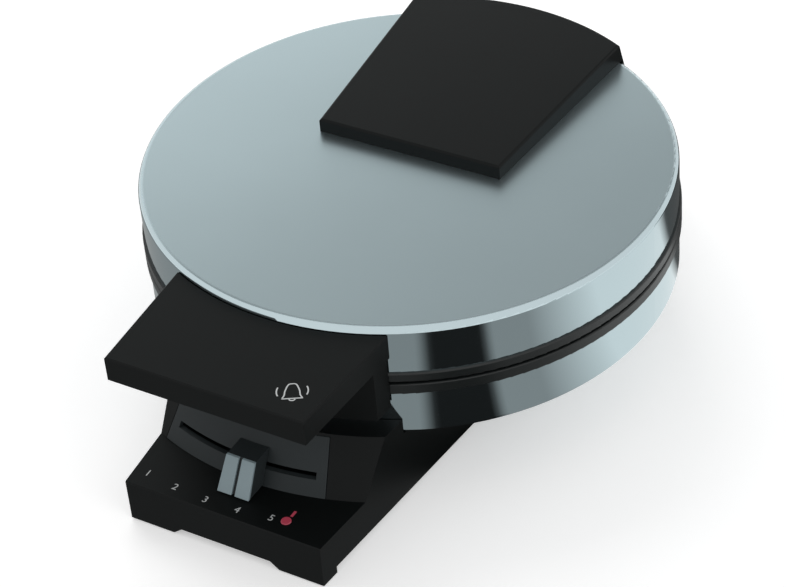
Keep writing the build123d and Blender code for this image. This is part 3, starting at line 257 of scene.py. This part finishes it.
def grain(tree, scale, stretch=(1.0, 1.0, 1.0), detail=3.0):
    """Noise over the part's own coordinates, stretched along its axes."""
    place = tree.nodes.new("ShaderNodeTexCoord")
    mapping = tree.nodes.new("ShaderNodeMapping")
    mapping.inputs["Scale"].default_value = stretch
    noise = tree.nodes.new("ShaderNodeTexNoise")
    noise.inputs["Scale"].default_value = scale
    noise.inputs["Detail"].default_value = detail
    tree.links.new(place.outputs["Object"], mapping.inputs["Vector"])
    tree.links.new(mapping.outputs["Vector"], noise.inputs["Vector"])
    return noise.outputs["Fac"]


def between(tree, factor, low, high, start=0.0, end=1.0):
    """A value that runs from low to high while the factor runs from start to end."""
    span = tree.nodes.new("ShaderNodeMapRange")
    span.inputs["From Min"].default_value = start
    span.inputs["From Max"].default_value = end
    span.inputs["To Min"].default_value = low
    span.inputs["To Max"].default_value = high
    tree.links.new(factor, span.inputs["Value"])
    return span.outputs["Result"]


def tint(tree, factor, dark, light):
    """A colour between two others."""
    mix = tree.nodes.new("ShaderNodeMix")
    mix.data_type = "RGBA"
    mix.inputs[MIX_COLOUR_A].default_value = (*dark, 1.0)
    mix.inputs[MIX_COLOUR_B].default_value = (*light, 1.0)
    tree.links.new(factor, mix.inputs[MIX_FACTOR])
    return mix.outputs[MIX_COLOUR_OUT]


def relief(tree, height, distance):
    """A bump from a height."""
    bump = tree.nodes.new("ShaderNodeBump")
    bump.inputs["Strength"].default_value = 1.0
    bump.inputs["Distance"].default_value = distance
    tree.links.new(height, bump.inputs["Height"])
    return bump.outputs["Normal"]


def shaded(colour, share):
    """The same colour made lighter or darker."""
    return tuple(min(channel * share, 1.0) for channel in colour)


# Finishes


def varied(name, colour, roughness, grain_scale, depth, metallic=0.0, spread=0.12, gloss=0.5):
    """A finish whose colour, gloss and surface vary with a fine grain and a slow cloudiness."""
    material, tree, shader = new_material(name, colour, roughness, metallic)
    shader.inputs["Specular IOR Level"].default_value = gloss
    fine = grain(tree, grain_scale)
    slow = grain(tree, CLOUD_SCALE, detail=2.0)
    clouded = tint(tree, slow, shaded(colour, 1 - spread), shaded(colour, 1 + spread))
    grained = between(tree, fine, roughness - GLOSS_CHANGE, roughness + GLOSS_CHANGE)
    tree.links.new(clouded, shader.inputs["Base Color"])
    tree.links.new(grained, shader.inputs["Roughness"])
    tree.links.new(relief(tree, fine, depth), shader.inputs["Normal"])
    return material


def sheet_steel(colour):
    """Satin on the flat top and polished on the band, by distance from the axis across the shoulder."""
    material, tree, shader = new_material("satin_and_polished_steel", colour, SATIN_ROUGHNESS[0], 1.0)
    place = tree.nodes.new("ShaderNodeTexCoord")
    flat = tree.nodes.new("ShaderNodeMapping")
    flat.inputs["Location"].default_value = -BODY_AXIS
    flat.inputs["Scale"].default_value = (1.0, 1.0, 0.0)
    length = tree.nodes.new("ShaderNodeVectorMath")
    length.operation = "LENGTH"
    tree.links.new(place.outputs["Object"], flat.inputs["Vector"])
    tree.links.new(flat.outputs["Vector"], length.inputs[0])
    polish = between(tree, length.outputs["Value"], 0.0, 1.0, POLISH_START, POLISH_END)
    satin = between(tree, grain(tree, ROLLED_SCALE, ROLLED_STRETCH), *SATIN_ROUGHNESS)
    rough = tree.nodes.new("ShaderNodeMix")
    rough.inputs[MIX_VALUE_B].default_value = POLISHED_ROUGHNESS
    tree.links.new(polish, rough.inputs[MIX_FACTOR])
    tree.links.new(satin, rough.inputs[MIX_VALUE_A])
    tree.links.new(rough.outputs[0], shader.inputs["Roughness"])
    dark, light = shaded(colour, 1 - STEEL_CHANGE), shaded(colour, 1 + STEEL_CHANGE)
    clouded = tint(tree, grain(tree, STEEL_CLOUD_SCALE), dark, light)
    tree.links.new(clouded, shader.inputs["Base Color"])
    return material


def clear_bulb():
    """Thin moulded glass with a slight tint."""
    material, tree, shader = new_material("lamp_glass", LAMP_GLASS, roughness=0.05)
    shader.inputs["Transmission Weight"].default_value = 0.9
    tree.links.new(relief(tree, grain(tree, 900.0), 0.02 * MM), shader.inputs["Normal"])
    return material


def red_lens(colour):
    """Glossy red plastic under a clear coat."""
    material = varied("red_lens_plastic", colour, roughness=0.22, grain_scale=1200.0, depth=0.02 * MM)
    shader = material.node_tree.nodes["Principled BSDF"]
    shader.inputs["Coat Weight"].default_value = 0.6
    return material


def dress(slot, material):
    """Gives every part of one material slot its finish."""
    for part in frame["record"]["subparts"]:
        if part["material_slot"] == slot:
            mesh = frame["nodes"][part["node"]].data
            mesh.materials.clear()
            mesh.materials.append(material)


# Printed marks


def shown_piece(name, mesh, material, body):
    """A mesh that is already in place, with its finish and the body that carries it."""
    mesh.materials.clear()
    mesh.materials.append(material)
    piece = bpy.data.objects.new(name, mesh)
    bpy.context.scene.collection.objects.link(piece)
    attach(piece, body)
    return piece


def print_ink(name, colour, roughness):
    """Ink with a very fine grain."""
    return varied(name, tuple(colour), roughness, grain_scale=1500.0, depth=0.002 * MM)


def printed_word(text, height, place):
    """Lettering as a closed mesh, centred on the origin, then moved to its place."""
    curve = bpy.data.curves.new("word", "FONT")
    curve.body = text
    curve.size = height / CAPITAL_SHARE
    curve.align_x = "CENTER"
    curve.align_y = "CENTER"
    curve.extrude = PRINT_THICKNESS / 2
    word = bpy.data.objects.new("word", curve)
    bpy.context.scene.collection.objects.link(word)
    solid = word.evaluated_get(bpy.context.evaluated_depsgraph_get())
    mesh = bpy.data.meshes.new_from_object(solid)
    bpy.data.objects.remove(word)
    mesh.transform(Matrix.Translation(place))
    return mesh


def line_mesh(path, width, floor, closed):
    """A printed line: a flat rectangle carried along a path.

    At each point the rectangle's two sides stand half a width off along the path's normal, and its
    two levels lie at the floor and one print's thickness above it.
    """
    if closed:
        ahead, behind = np.roll(path, -1, axis=0), np.roll(path, 1, axis=0)
    else:
        ahead, behind = np.vstack((path[1:], path[-1:])), np.vstack((path[:1], path[:-1]))
    along = ahead - behind
    along /= np.linalg.norm(along, axis=1, keepdims=True)
    normal = np.column_stack((-along[:, 1], along[:, 0])) * width / 2
    left, right = path + normal, path - normal
    low = np.full(len(path), floor)
    high = low + PRINT_THICKNESS
    rings = np.stack(
        (
            np.column_stack((left, low)), np.column_stack((right, low)),
            np.column_stack((right, high)), np.column_stack((left, high)),
        ),
        axis=1,
    )
    count = len(path)
    steps = np.arange(count if closed else count - 1)[:, None] * 4
    side = np.arange(4)[None, :]
    after = (side + 1) % 4
    onward = (steps + 4) % (4 * count)
    quads = np.stack((steps + side, steps + after, onward + after, onward + side), axis=2)
    quads = quads.reshape(-1, 4)
    if not closed:
        last = 4 * (count - 1)
        quads = np.vstack((quads, [[3, 2, 1, 0]], [[last, last + 1, last + 2, last + 3]]))
    mesh = bpy.data.meshes.new("line")
    mesh.from_pydata(rings.reshape(-1, 3).tolist(), [], quads.tolist())
    mesh.update()
    return mesh


def bell_outline(height):
    """The outline of a bell, mirrored about the upright.

    The half width is that of the crown, plus the body's times the square root of the drop as far as
    the shoulder, plus the flare's times a high power of the drop, which opens the rim.
    """
    drop = np.linspace(0.0, 1.0, BELL_POINTS)
    body = BELL_BODY * np.sqrt(np.clip(drop * BELL_SHOULDER, 0, 1))
    half = BELL_CROWN + body + BELL_FLARE * drop**BELL_FLARE_POWER
    right = np.column_stack((half, BELL_RIM - drop))
    left = right[::-1] * (-1.0, 1.0)
    return np.vstack((right, left)) * height


def ringing_arc(height, side):
    """A short arc beside the bell: part of a circle about the bell's middle."""
    angle = np.linspace(-RINGING_HALF, RINGING_HALF, ARC_POINTS)
    return np.column_stack((side * np.cos(angle), np.sin(angle))) * height * RINGING_R


def clapper_arc(height):
    """The clapper under the rim: the lower part of a circle about the rim's middle."""
    angle = np.linspace(*CLAPPER_SPAN, ARC_POINTS)
    circle = np.column_stack((np.cos(angle), np.sin(angle))) * CLAPPER_R
    return (circle - (0.0, BELL_RIM)) * height


def turned_to(path, turn, place):
    """A flat path turned about its middle and moved to its place, in metres."""
    spin = np.array(((cos(turn), -sin(turn)), (sin(turn), cos(turn))))
    return path @ spin.T + np.array(place) * MM


# Operators


class WAFFLE_OT_steel(Operator):
    """Satin and polished steel, screws and pins"""

    bl_idname = "waffle.steel"
    bl_label = "Finish the steel"

    def execute(self, context):
        dress("brushed_steel", sheet_steel(tuple(context.scene.waffle_colours.steel)))
        dress("zinc_steel", varied(
            "zinc_plated_steel", ZINC_PLATE, roughness=0.34, grain_scale=1500.0, depth=0.01 * MM,
            metallic=1.0,
        ))
        dress("pin_steel", varied(
            "ground_steel", GROUND_STEEL, roughness=0.20, grain_scale=1800.0, depth=0.004 * MM,
            metallic=1.0,
        ))
        dress("heater_steel", varied(
            "annealed_steel", ANNEALED_STEEL, roughness=0.42, grain_scale=700.0, depth=0.01 * MM,
            metallic=1.0, spread=0.3,
        ))
        dress("shield_aluminium", varied(
            "mill_aluminium", MILL_ALUMINIUM, roughness=0.30, grain_scale=1200.0, depth=0.006 * MM,
            metallic=1.0,
        ))
        return {"FINISHED"}


class WAFFLE_OT_plastics(Operator):
    """Moulded plastics, rubber, coating and the lamp's lens"""

    bl_idname = "waffle.plastics"
    bl_label = "Finish the plastics"

    def execute(self, context):
        colours = context.scene.waffle_colours
        black = tuple(colours.black)
        dress("black_plastic", varied(
            "black_moulded_plastic", black, roughness=0.42, grain_scale=1900.0, depth=0.012 * MM,
            gloss=0.13,
        ))
        # The collars are the black plastic painted lighter, which is painted highlight; their higher
        # gloss is their own
        dress("black_trim", varied(
            "black_collar_painted_highlight", shaded(black, TRIM_PAINTED_HIGHLIGHT_LIFT), roughness=0.34, grain_scale=1900.0,
            depth=0.008 * MM, gloss=0.4,
        ))
        dress("grey_plastic", varied(
            "grey_moulded_plastic", tuple(colours.grey), roughness=0.44, grain_scale=1900.0,
            depth=0.010 * MM, gloss=0.2,
        ))
        # The front pads are painted paler than the grey knob: painted highlight on the lit front face
        dress("pale_grey_plastic", varied(
            "knob_pads_painted_light", tuple(colours.front_pads_painted_highlight), roughness=0.40, grain_scale=1900.0,
            depth=0.008 * MM,
        ))
        dress("foot_rubber", varied(
            "foot_rubber_black", FOOT_RUBBER, roughness=0.75, grain_scale=900.0, depth=0.03 * MM,
        ))
        dress("coated_plate", varied(
            "baking_coating", BAKING_COATING, roughness=0.46, grain_scale=1100.0, depth=0.02 * MM,
            metallic=0.2, spread=0.25,
        ))
        dress("ceramic_white", varied(
            "unglazed_ceramic", CERAMIC, roughness=0.60, grain_scale=1300.0, depth=0.02 * MM,
        ))
        dress("board_green", varied(
            "board_lacquer", BOARD_LACQUER, roughness=0.25, grain_scale=500.0, depth=0.004 * MM,
        ))
        dress("lamp_clear", clear_bulb())
        dress("red_lens", red_lens(tuple(colours.red)))
        return {"FINISHED"}


class WAFFLE_OT_numbers(Operator):
    """Numbers 1 to 5 along the front ledge"""

    bl_idname = "waffle.numbers"
    bl_label = "Print the numbers"

    def execute(self, context):
        scene = context.scene
        material = print_ink("printed_numbers", scene.waffle_colours.mark, 0.55)
        for text, (x, y) in NUMBER_PLACES.items():
            place = (x * MM, y * MM, LEDGE_Z + PRINT_THICKNESS / 2)
            mesh = printed_word(text, scene.waffle_sizes.number_height, place)
            shown_piece(f"number_{text}", mesh, material, "base")
        return {"FINISHED"}


class WAFFLE_OT_bell(Operator):
    """A plain bell on the handle, with its clapper and two ringing arcs"""

    bl_idname = "waffle.bell"
    bl_label = "Print the bell"

    def execute(self, context):
        scene = context.scene
        material = print_ink("printed_bell", scene.waffle_colours.mark, 0.55)
        height, width = scene.waffle_sizes.bell_height, scene.waffle_sizes.line_width
        lines = {
            "bell_outline": (bell_outline(height), True),
            "bell_clapper": (clapper_arc(height), False),
            "bell_ringing_right": (ringing_arc(height, 1), False),
            "bell_ringing_left": (ringing_arc(height, -1), False),
        }
        for name, (path, closed) in lines.items():
            mesh = line_mesh(turned_to(path, BELL_TURN, BELL_PLACE), width, HANDLE_Z, closed)
            shown_piece(name, mesh, material, "lid")
        return {"FINISHED"}


class WAFFLE_OT_lamp_mark(Operator):
    """The red dash printed behind the lamp"""

    bl_idname = "waffle.lamp_mark"
    bl_label = "Print the lamp's dash"

    def execute(self, context):
        scene = context.scene
        material = print_ink("printed_red", scene.waffle_colours.red, 0.50)
        half = scene.waffle_sizes.dash_length / 2
        upright = np.array(((0.0, -half), (0.0, half)))
        path = turned_to(upright, 0.0, LAMP_MARK_PLACE)
        mesh = line_mesh(path, scene.waffle_sizes.dash_width, LEDGE_Z, False)
        shown_piece("lamp_dash", mesh, material, "base")
        return {"FINISHED"}


# Studio


def seen_directly(tree):
    """1 where the camera, a reflection or a clear part shows it, and 0 where it only lights."""
    path = tree.nodes.new("ShaderNodeLightPath")
    total = path.outputs["Is Camera Ray"]
    for name in ("Is Glossy Ray", "Is Transmission Ray"):
        either = tree.nodes.new("ShaderNodeMath")
        either.operation = "MAXIMUM"
        tree.links.new(total, either.inputs[0])
        tree.links.new(path.outputs[name], either.inputs[1])
        total = either.outputs[0]
    return total


def studio_floor(colour):
    """A wide matt floor with a little glow where it is seen, so that it is white but keeps its shadow."""
    corners = [(FLOOR_HALF * x, FLOOR_HALF * y, 0) for x, y in SQUARE]
    mesh = bpy.data.meshes.new("floor")
    mesh.from_pydata(corners, [], [(0, 1, 2, 3)])
    material = varied(
        "studio_floor", colour, roughness=0.9, grain_scale=60.0, depth=0.0, spread=0.01, gloss=0.0,
    )
    tree = material.node_tree
    shader = tree.nodes["Principled BSDF"]
    shader.inputs["Emission Color"].default_value = (1.0, 1.0, 1.0, 1.0)
    glow = between(tree, seen_directly(tree), 0.0, FLOOR_GLOW)
    tree.links.new(glow, shader.inputs["Emission Strength"])
    mesh.materials.append(material)
    floor = bpy.data.objects.new("studio_floor", mesh)
    bpy.context.scene.collection.objects.link(floor)


def dull_black(name):
    """The unlit surface under a studio piece's glow."""
    return varied(name, MIRRORED_BLACK, roughness=0.9, grain_scale=40.0, depth=0.0, gloss=0.0)


def mirrored_only(name, mesh, material, glow):
    """A studio piece that lights nothing and that only reflections show."""
    shader = material.node_tree.nodes["Principled BSDF"]
    shader.inputs["Emission Color"].default_value = MIRRORED_WHITE
    material.node_tree.links.new(glow, shader.inputs["Emission Strength"])
    mesh.materials.append(material)
    piece = bpy.data.objects.new(name, mesh)
    bpy.context.scene.collection.objects.link(piece)
    for rays in ("camera", "diffuse", "transmission", "volume_scatter", "shadow"):
        setattr(piece, f"visible_{rays}", False)


def studio_wall():
    """A square that faces the lid where the lid mirrors it: bright low on its left, greyer upwards."""
    a, e = CAMERA_AZIMUTH, CAMERA_ELEVATION
    level = Vector((-sin(a), cos(a), 0.0))
    right = Vector((cos(a), sin(a), 0.0))
    away = cos(e) * level + sin(e) * Vector((0.0, 0.0, 1.0))
    up = right.cross(away)
    centre = BODY_AXIS + Vector((0.0, 0.0, LID_TOP_Z)) + WALL_AWAY * away
    corners = [centre + WALL_HALF * (i * right + j * up) for i, j in SQUARE]
    mesh = bpy.data.meshes.new("studio_wall")
    mesh.from_pydata(corners, [], [(0, 1, 2, 3)])
    material = dull_black("studio_wall_paint")
    tree = material.node_tree
    place = tree.nodes.new("ShaderNodeTexCoord")
    toward = tree.nodes.new("ShaderNodeVectorMath")
    toward.operation = "DOT_PRODUCT"
    bright = (WALL_BRIGHT_RIGHT * right + WALL_BRIGHT_UP * up).normalized()
    toward.inputs[1].default_value = bright
    tree.links.new(place.outputs["Object"], toward.inputs[0])
    start, end = (centre.dot(bright) + step for step in WALL_FADE)
    glow = between(tree, toward.outputs["Value"], *WALL_GLOWS, start, end)
    mirrored_only("studio_wall", mesh, material, glow)


def studio_ring():
    """A flat ring round the foot: circles at two radii, and a glow that follows the bearing."""
    angle = np.linspace(0.0, 2 * np.pi, RING_STEPS, endpoint=False)
    circle = np.column_stack((np.cos(angle), np.sin(angle)))
    flat = np.vstack([circle * radius for radius in RING_RADII])
    points = np.column_stack((flat, np.full(len(flat), RING_HEIGHT))) + np.array(BODY_AXIS)
    step = np.arange(len(angle))
    after = (step + 1) % len(angle)
    quads = np.column_stack((step, step + len(angle), after + len(angle), after))
    mesh = bpy.data.meshes.new("studio_ring")
    mesh.from_pydata(points.tolist(), [], quads.tolist())
    material = dull_black("studio_ring_paint")
    tree = material.node_tree
    place = tree.nodes.new("ShaderNodeTexCoord")
    about = tree.nodes.new("ShaderNodeVectorMath")
    about.operation = "SUBTRACT"
    about.inputs[1].default_value = BODY_AXIS
    split = tree.nodes.new("ShaderNodeSeparateXYZ")
    ahead = tree.nodes.new("ShaderNodeMath")
    ahead.operation = "MULTIPLY"
    ahead.inputs[1].default_value = -1.0
    bearing = tree.nodes.new("ShaderNodeMath")
    bearing.operation = "ARCTAN2"
    ramp = tree.nodes.new("ShaderNodeValToRGB")
    tree.links.new(place.outputs["Object"], about.inputs[0])
    tree.links.new(about.outputs["Vector"], split.inputs["Vector"])
    tree.links.new(split.outputs["Y"], ahead.inputs[0])
    tree.links.new(split.outputs["X"], bearing.inputs[0])
    tree.links.new(ahead.outputs["Value"], bearing.inputs[1])
    turn = between(tree, bearing.outputs["Value"], 0.0, 1.0, -np.pi, np.pi)
    tree.links.new(turn, ramp.inputs["Fac"])
    stops = ramp.color_ramp.elements
    for index, (degree, glow) in enumerate(RING_GLOWS):
        position = (degree + 180) / 360
        stop = stops[0] if index == 0 else stops.new(position)
        stop.position = position
        stop.color = (glow, glow, glow, 1.0)
    mirrored_only("studio_ring", mesh, material, ramp.outputs["Color"])


def studio_world(strength):
    """Even light on the object, and plain white where it is seen."""
    world = bpy.data.worlds.new("studio_world")
    world.use_nodes = True
    tree = world.node_tree
    background = tree.nodes["Background"]
    background.inputs["Color"].default_value = (1.0, 1.0, 1.0, 1.0)
    glow = between(tree, seen_directly(tree), strength, 1.0)
    tree.links.new(glow, background.inputs["Strength"])
    bpy.context.scene.world = world


def soft_light(name, place, size, watts):
    """A square lamp that faces the object."""
    lamp = bpy.data.lights.new(name, "AREA")
    lamp.shape = "SQUARE"
    lamp.size = size
    lamp.energy = watts
    light = bpy.data.objects.new(name, lamp)
    light.location = place
    light.visible_glossy = False
    light.rotation_mode = "QUATERNION"
    light.rotation_quaternion = (LAMP_TARGET - Vector(place)).to_track_quat("-Z", "Y")
    bpy.context.scene.collection.objects.link(light)


def photograph_camera():
    """The camera at its fitted place, turned by azimuth and elevation, then rolled."""
    a, e, r = CAMERA_AZIMUTH, CAMERA_ELEVATION, CAMERA_ROLL
    back = Vector((sin(a) * cos(e), -cos(a) * cos(e), sin(e)))
    right = Vector((cos(a), sin(a), 0.0))
    up = back.cross(right)
    level = (cos(r) * right + sin(r) * up, -sin(r) * right + cos(r) * up, back)
    lens = bpy.data.cameras.new("photograph")
    lens.sensor_width = SENSOR_MM
    lens.sensor_fit = "HORIZONTAL"
    lens.lens = FOCAL_PIXELS / IMAGE_WIDTH * SENSOR_MM
    camera = bpy.data.objects.new("photograph", lens)
    turned = Matrix(level).transposed().to_4x4()
    camera.matrix_world = Matrix.Translation(CAMERA_PLACE) @ turned
    bpy.context.scene.collection.objects.link(camera)
    bpy.context.scene.camera = camera


class WAFFLE_OT_studio(Operator):
    """Floor, light, world and the photograph's camera"""

    bl_idname = "waffle.studio"
    bl_label = "Set up the studio"

    def execute(self, context):
        studio = context.scene.waffle_studio
        context.scene.view_settings.view_transform = "Standard"
        studio_floor(tuple(studio.floor))
        studio_world(studio.sky)
        studio_wall()
        studio_ring()
        soft_light("key_light", KEY_PLACE, KEY_SIZE, studio.key_power)
        soft_light("side_light", SIDE_PLACE, SIDE_SIZE, studio.side_power)
        photograph_camera()
        return {"FINISHED"}


class WAFFLE_PT_looks(Panel):
    """Lists the pieces, their colours and their sizes"""

    bl_idname = "WAFFLE_PT_looks"
    bl_label = "Waffle iron"
    bl_space_type = "VIEW_3D"
    bl_region_type = "UI"
    bl_category = "Waffle Iron"

    def draw(self, context):
        for group, kind in GROUPS.items():
            for name in kind.__annotations__:
                self.layout.prop(getattr(context.scene, group), name)
        for operator in OPERATORS:
            self.layout.operator(operator.bl_idname)


GROUPS = {
    "waffle_colours": WaffleColours,
    "waffle_sizes": WaffleSizes,
    "waffle_studio": WaffleStudio,
}
OPERATORS = (
    WAFFLE_OT_steel, WAFFLE_OT_plastics, WAFFLE_OT_numbers, WAFFLE_OT_bell, WAFFLE_OT_lamp_mark,
    WAFFLE_OT_studio,
)


def register():
    for kind in (*GROUPS.values(), *OPERATORS, WAFFLE_PT_looks):
        bpy.utils.register_class(kind)
    for name, group in GROUPS.items():
        setattr(bpy.types.Scene, name, PointerProperty(type=group))


def unregister():
    for name in GROUPS:
        delattr(bpy.types.Scene, name)
    for kind in reversed((*GROUPS.values(), *OPERATORS, WAFFLE_PT_looks)):
        bpy.utils.unregister_class(kind)


def main():
    register()
    bpy.ops.waffle.steel()
    bpy.ops.waffle.plastics()
    bpy.ops.waffle.numbers()
    bpy.ops.waffle.bell()
    bpy.ops.waffle.lamp_mark()
    bpy.ops.waffle.studio()


if __name__ == "__main__":
    main()
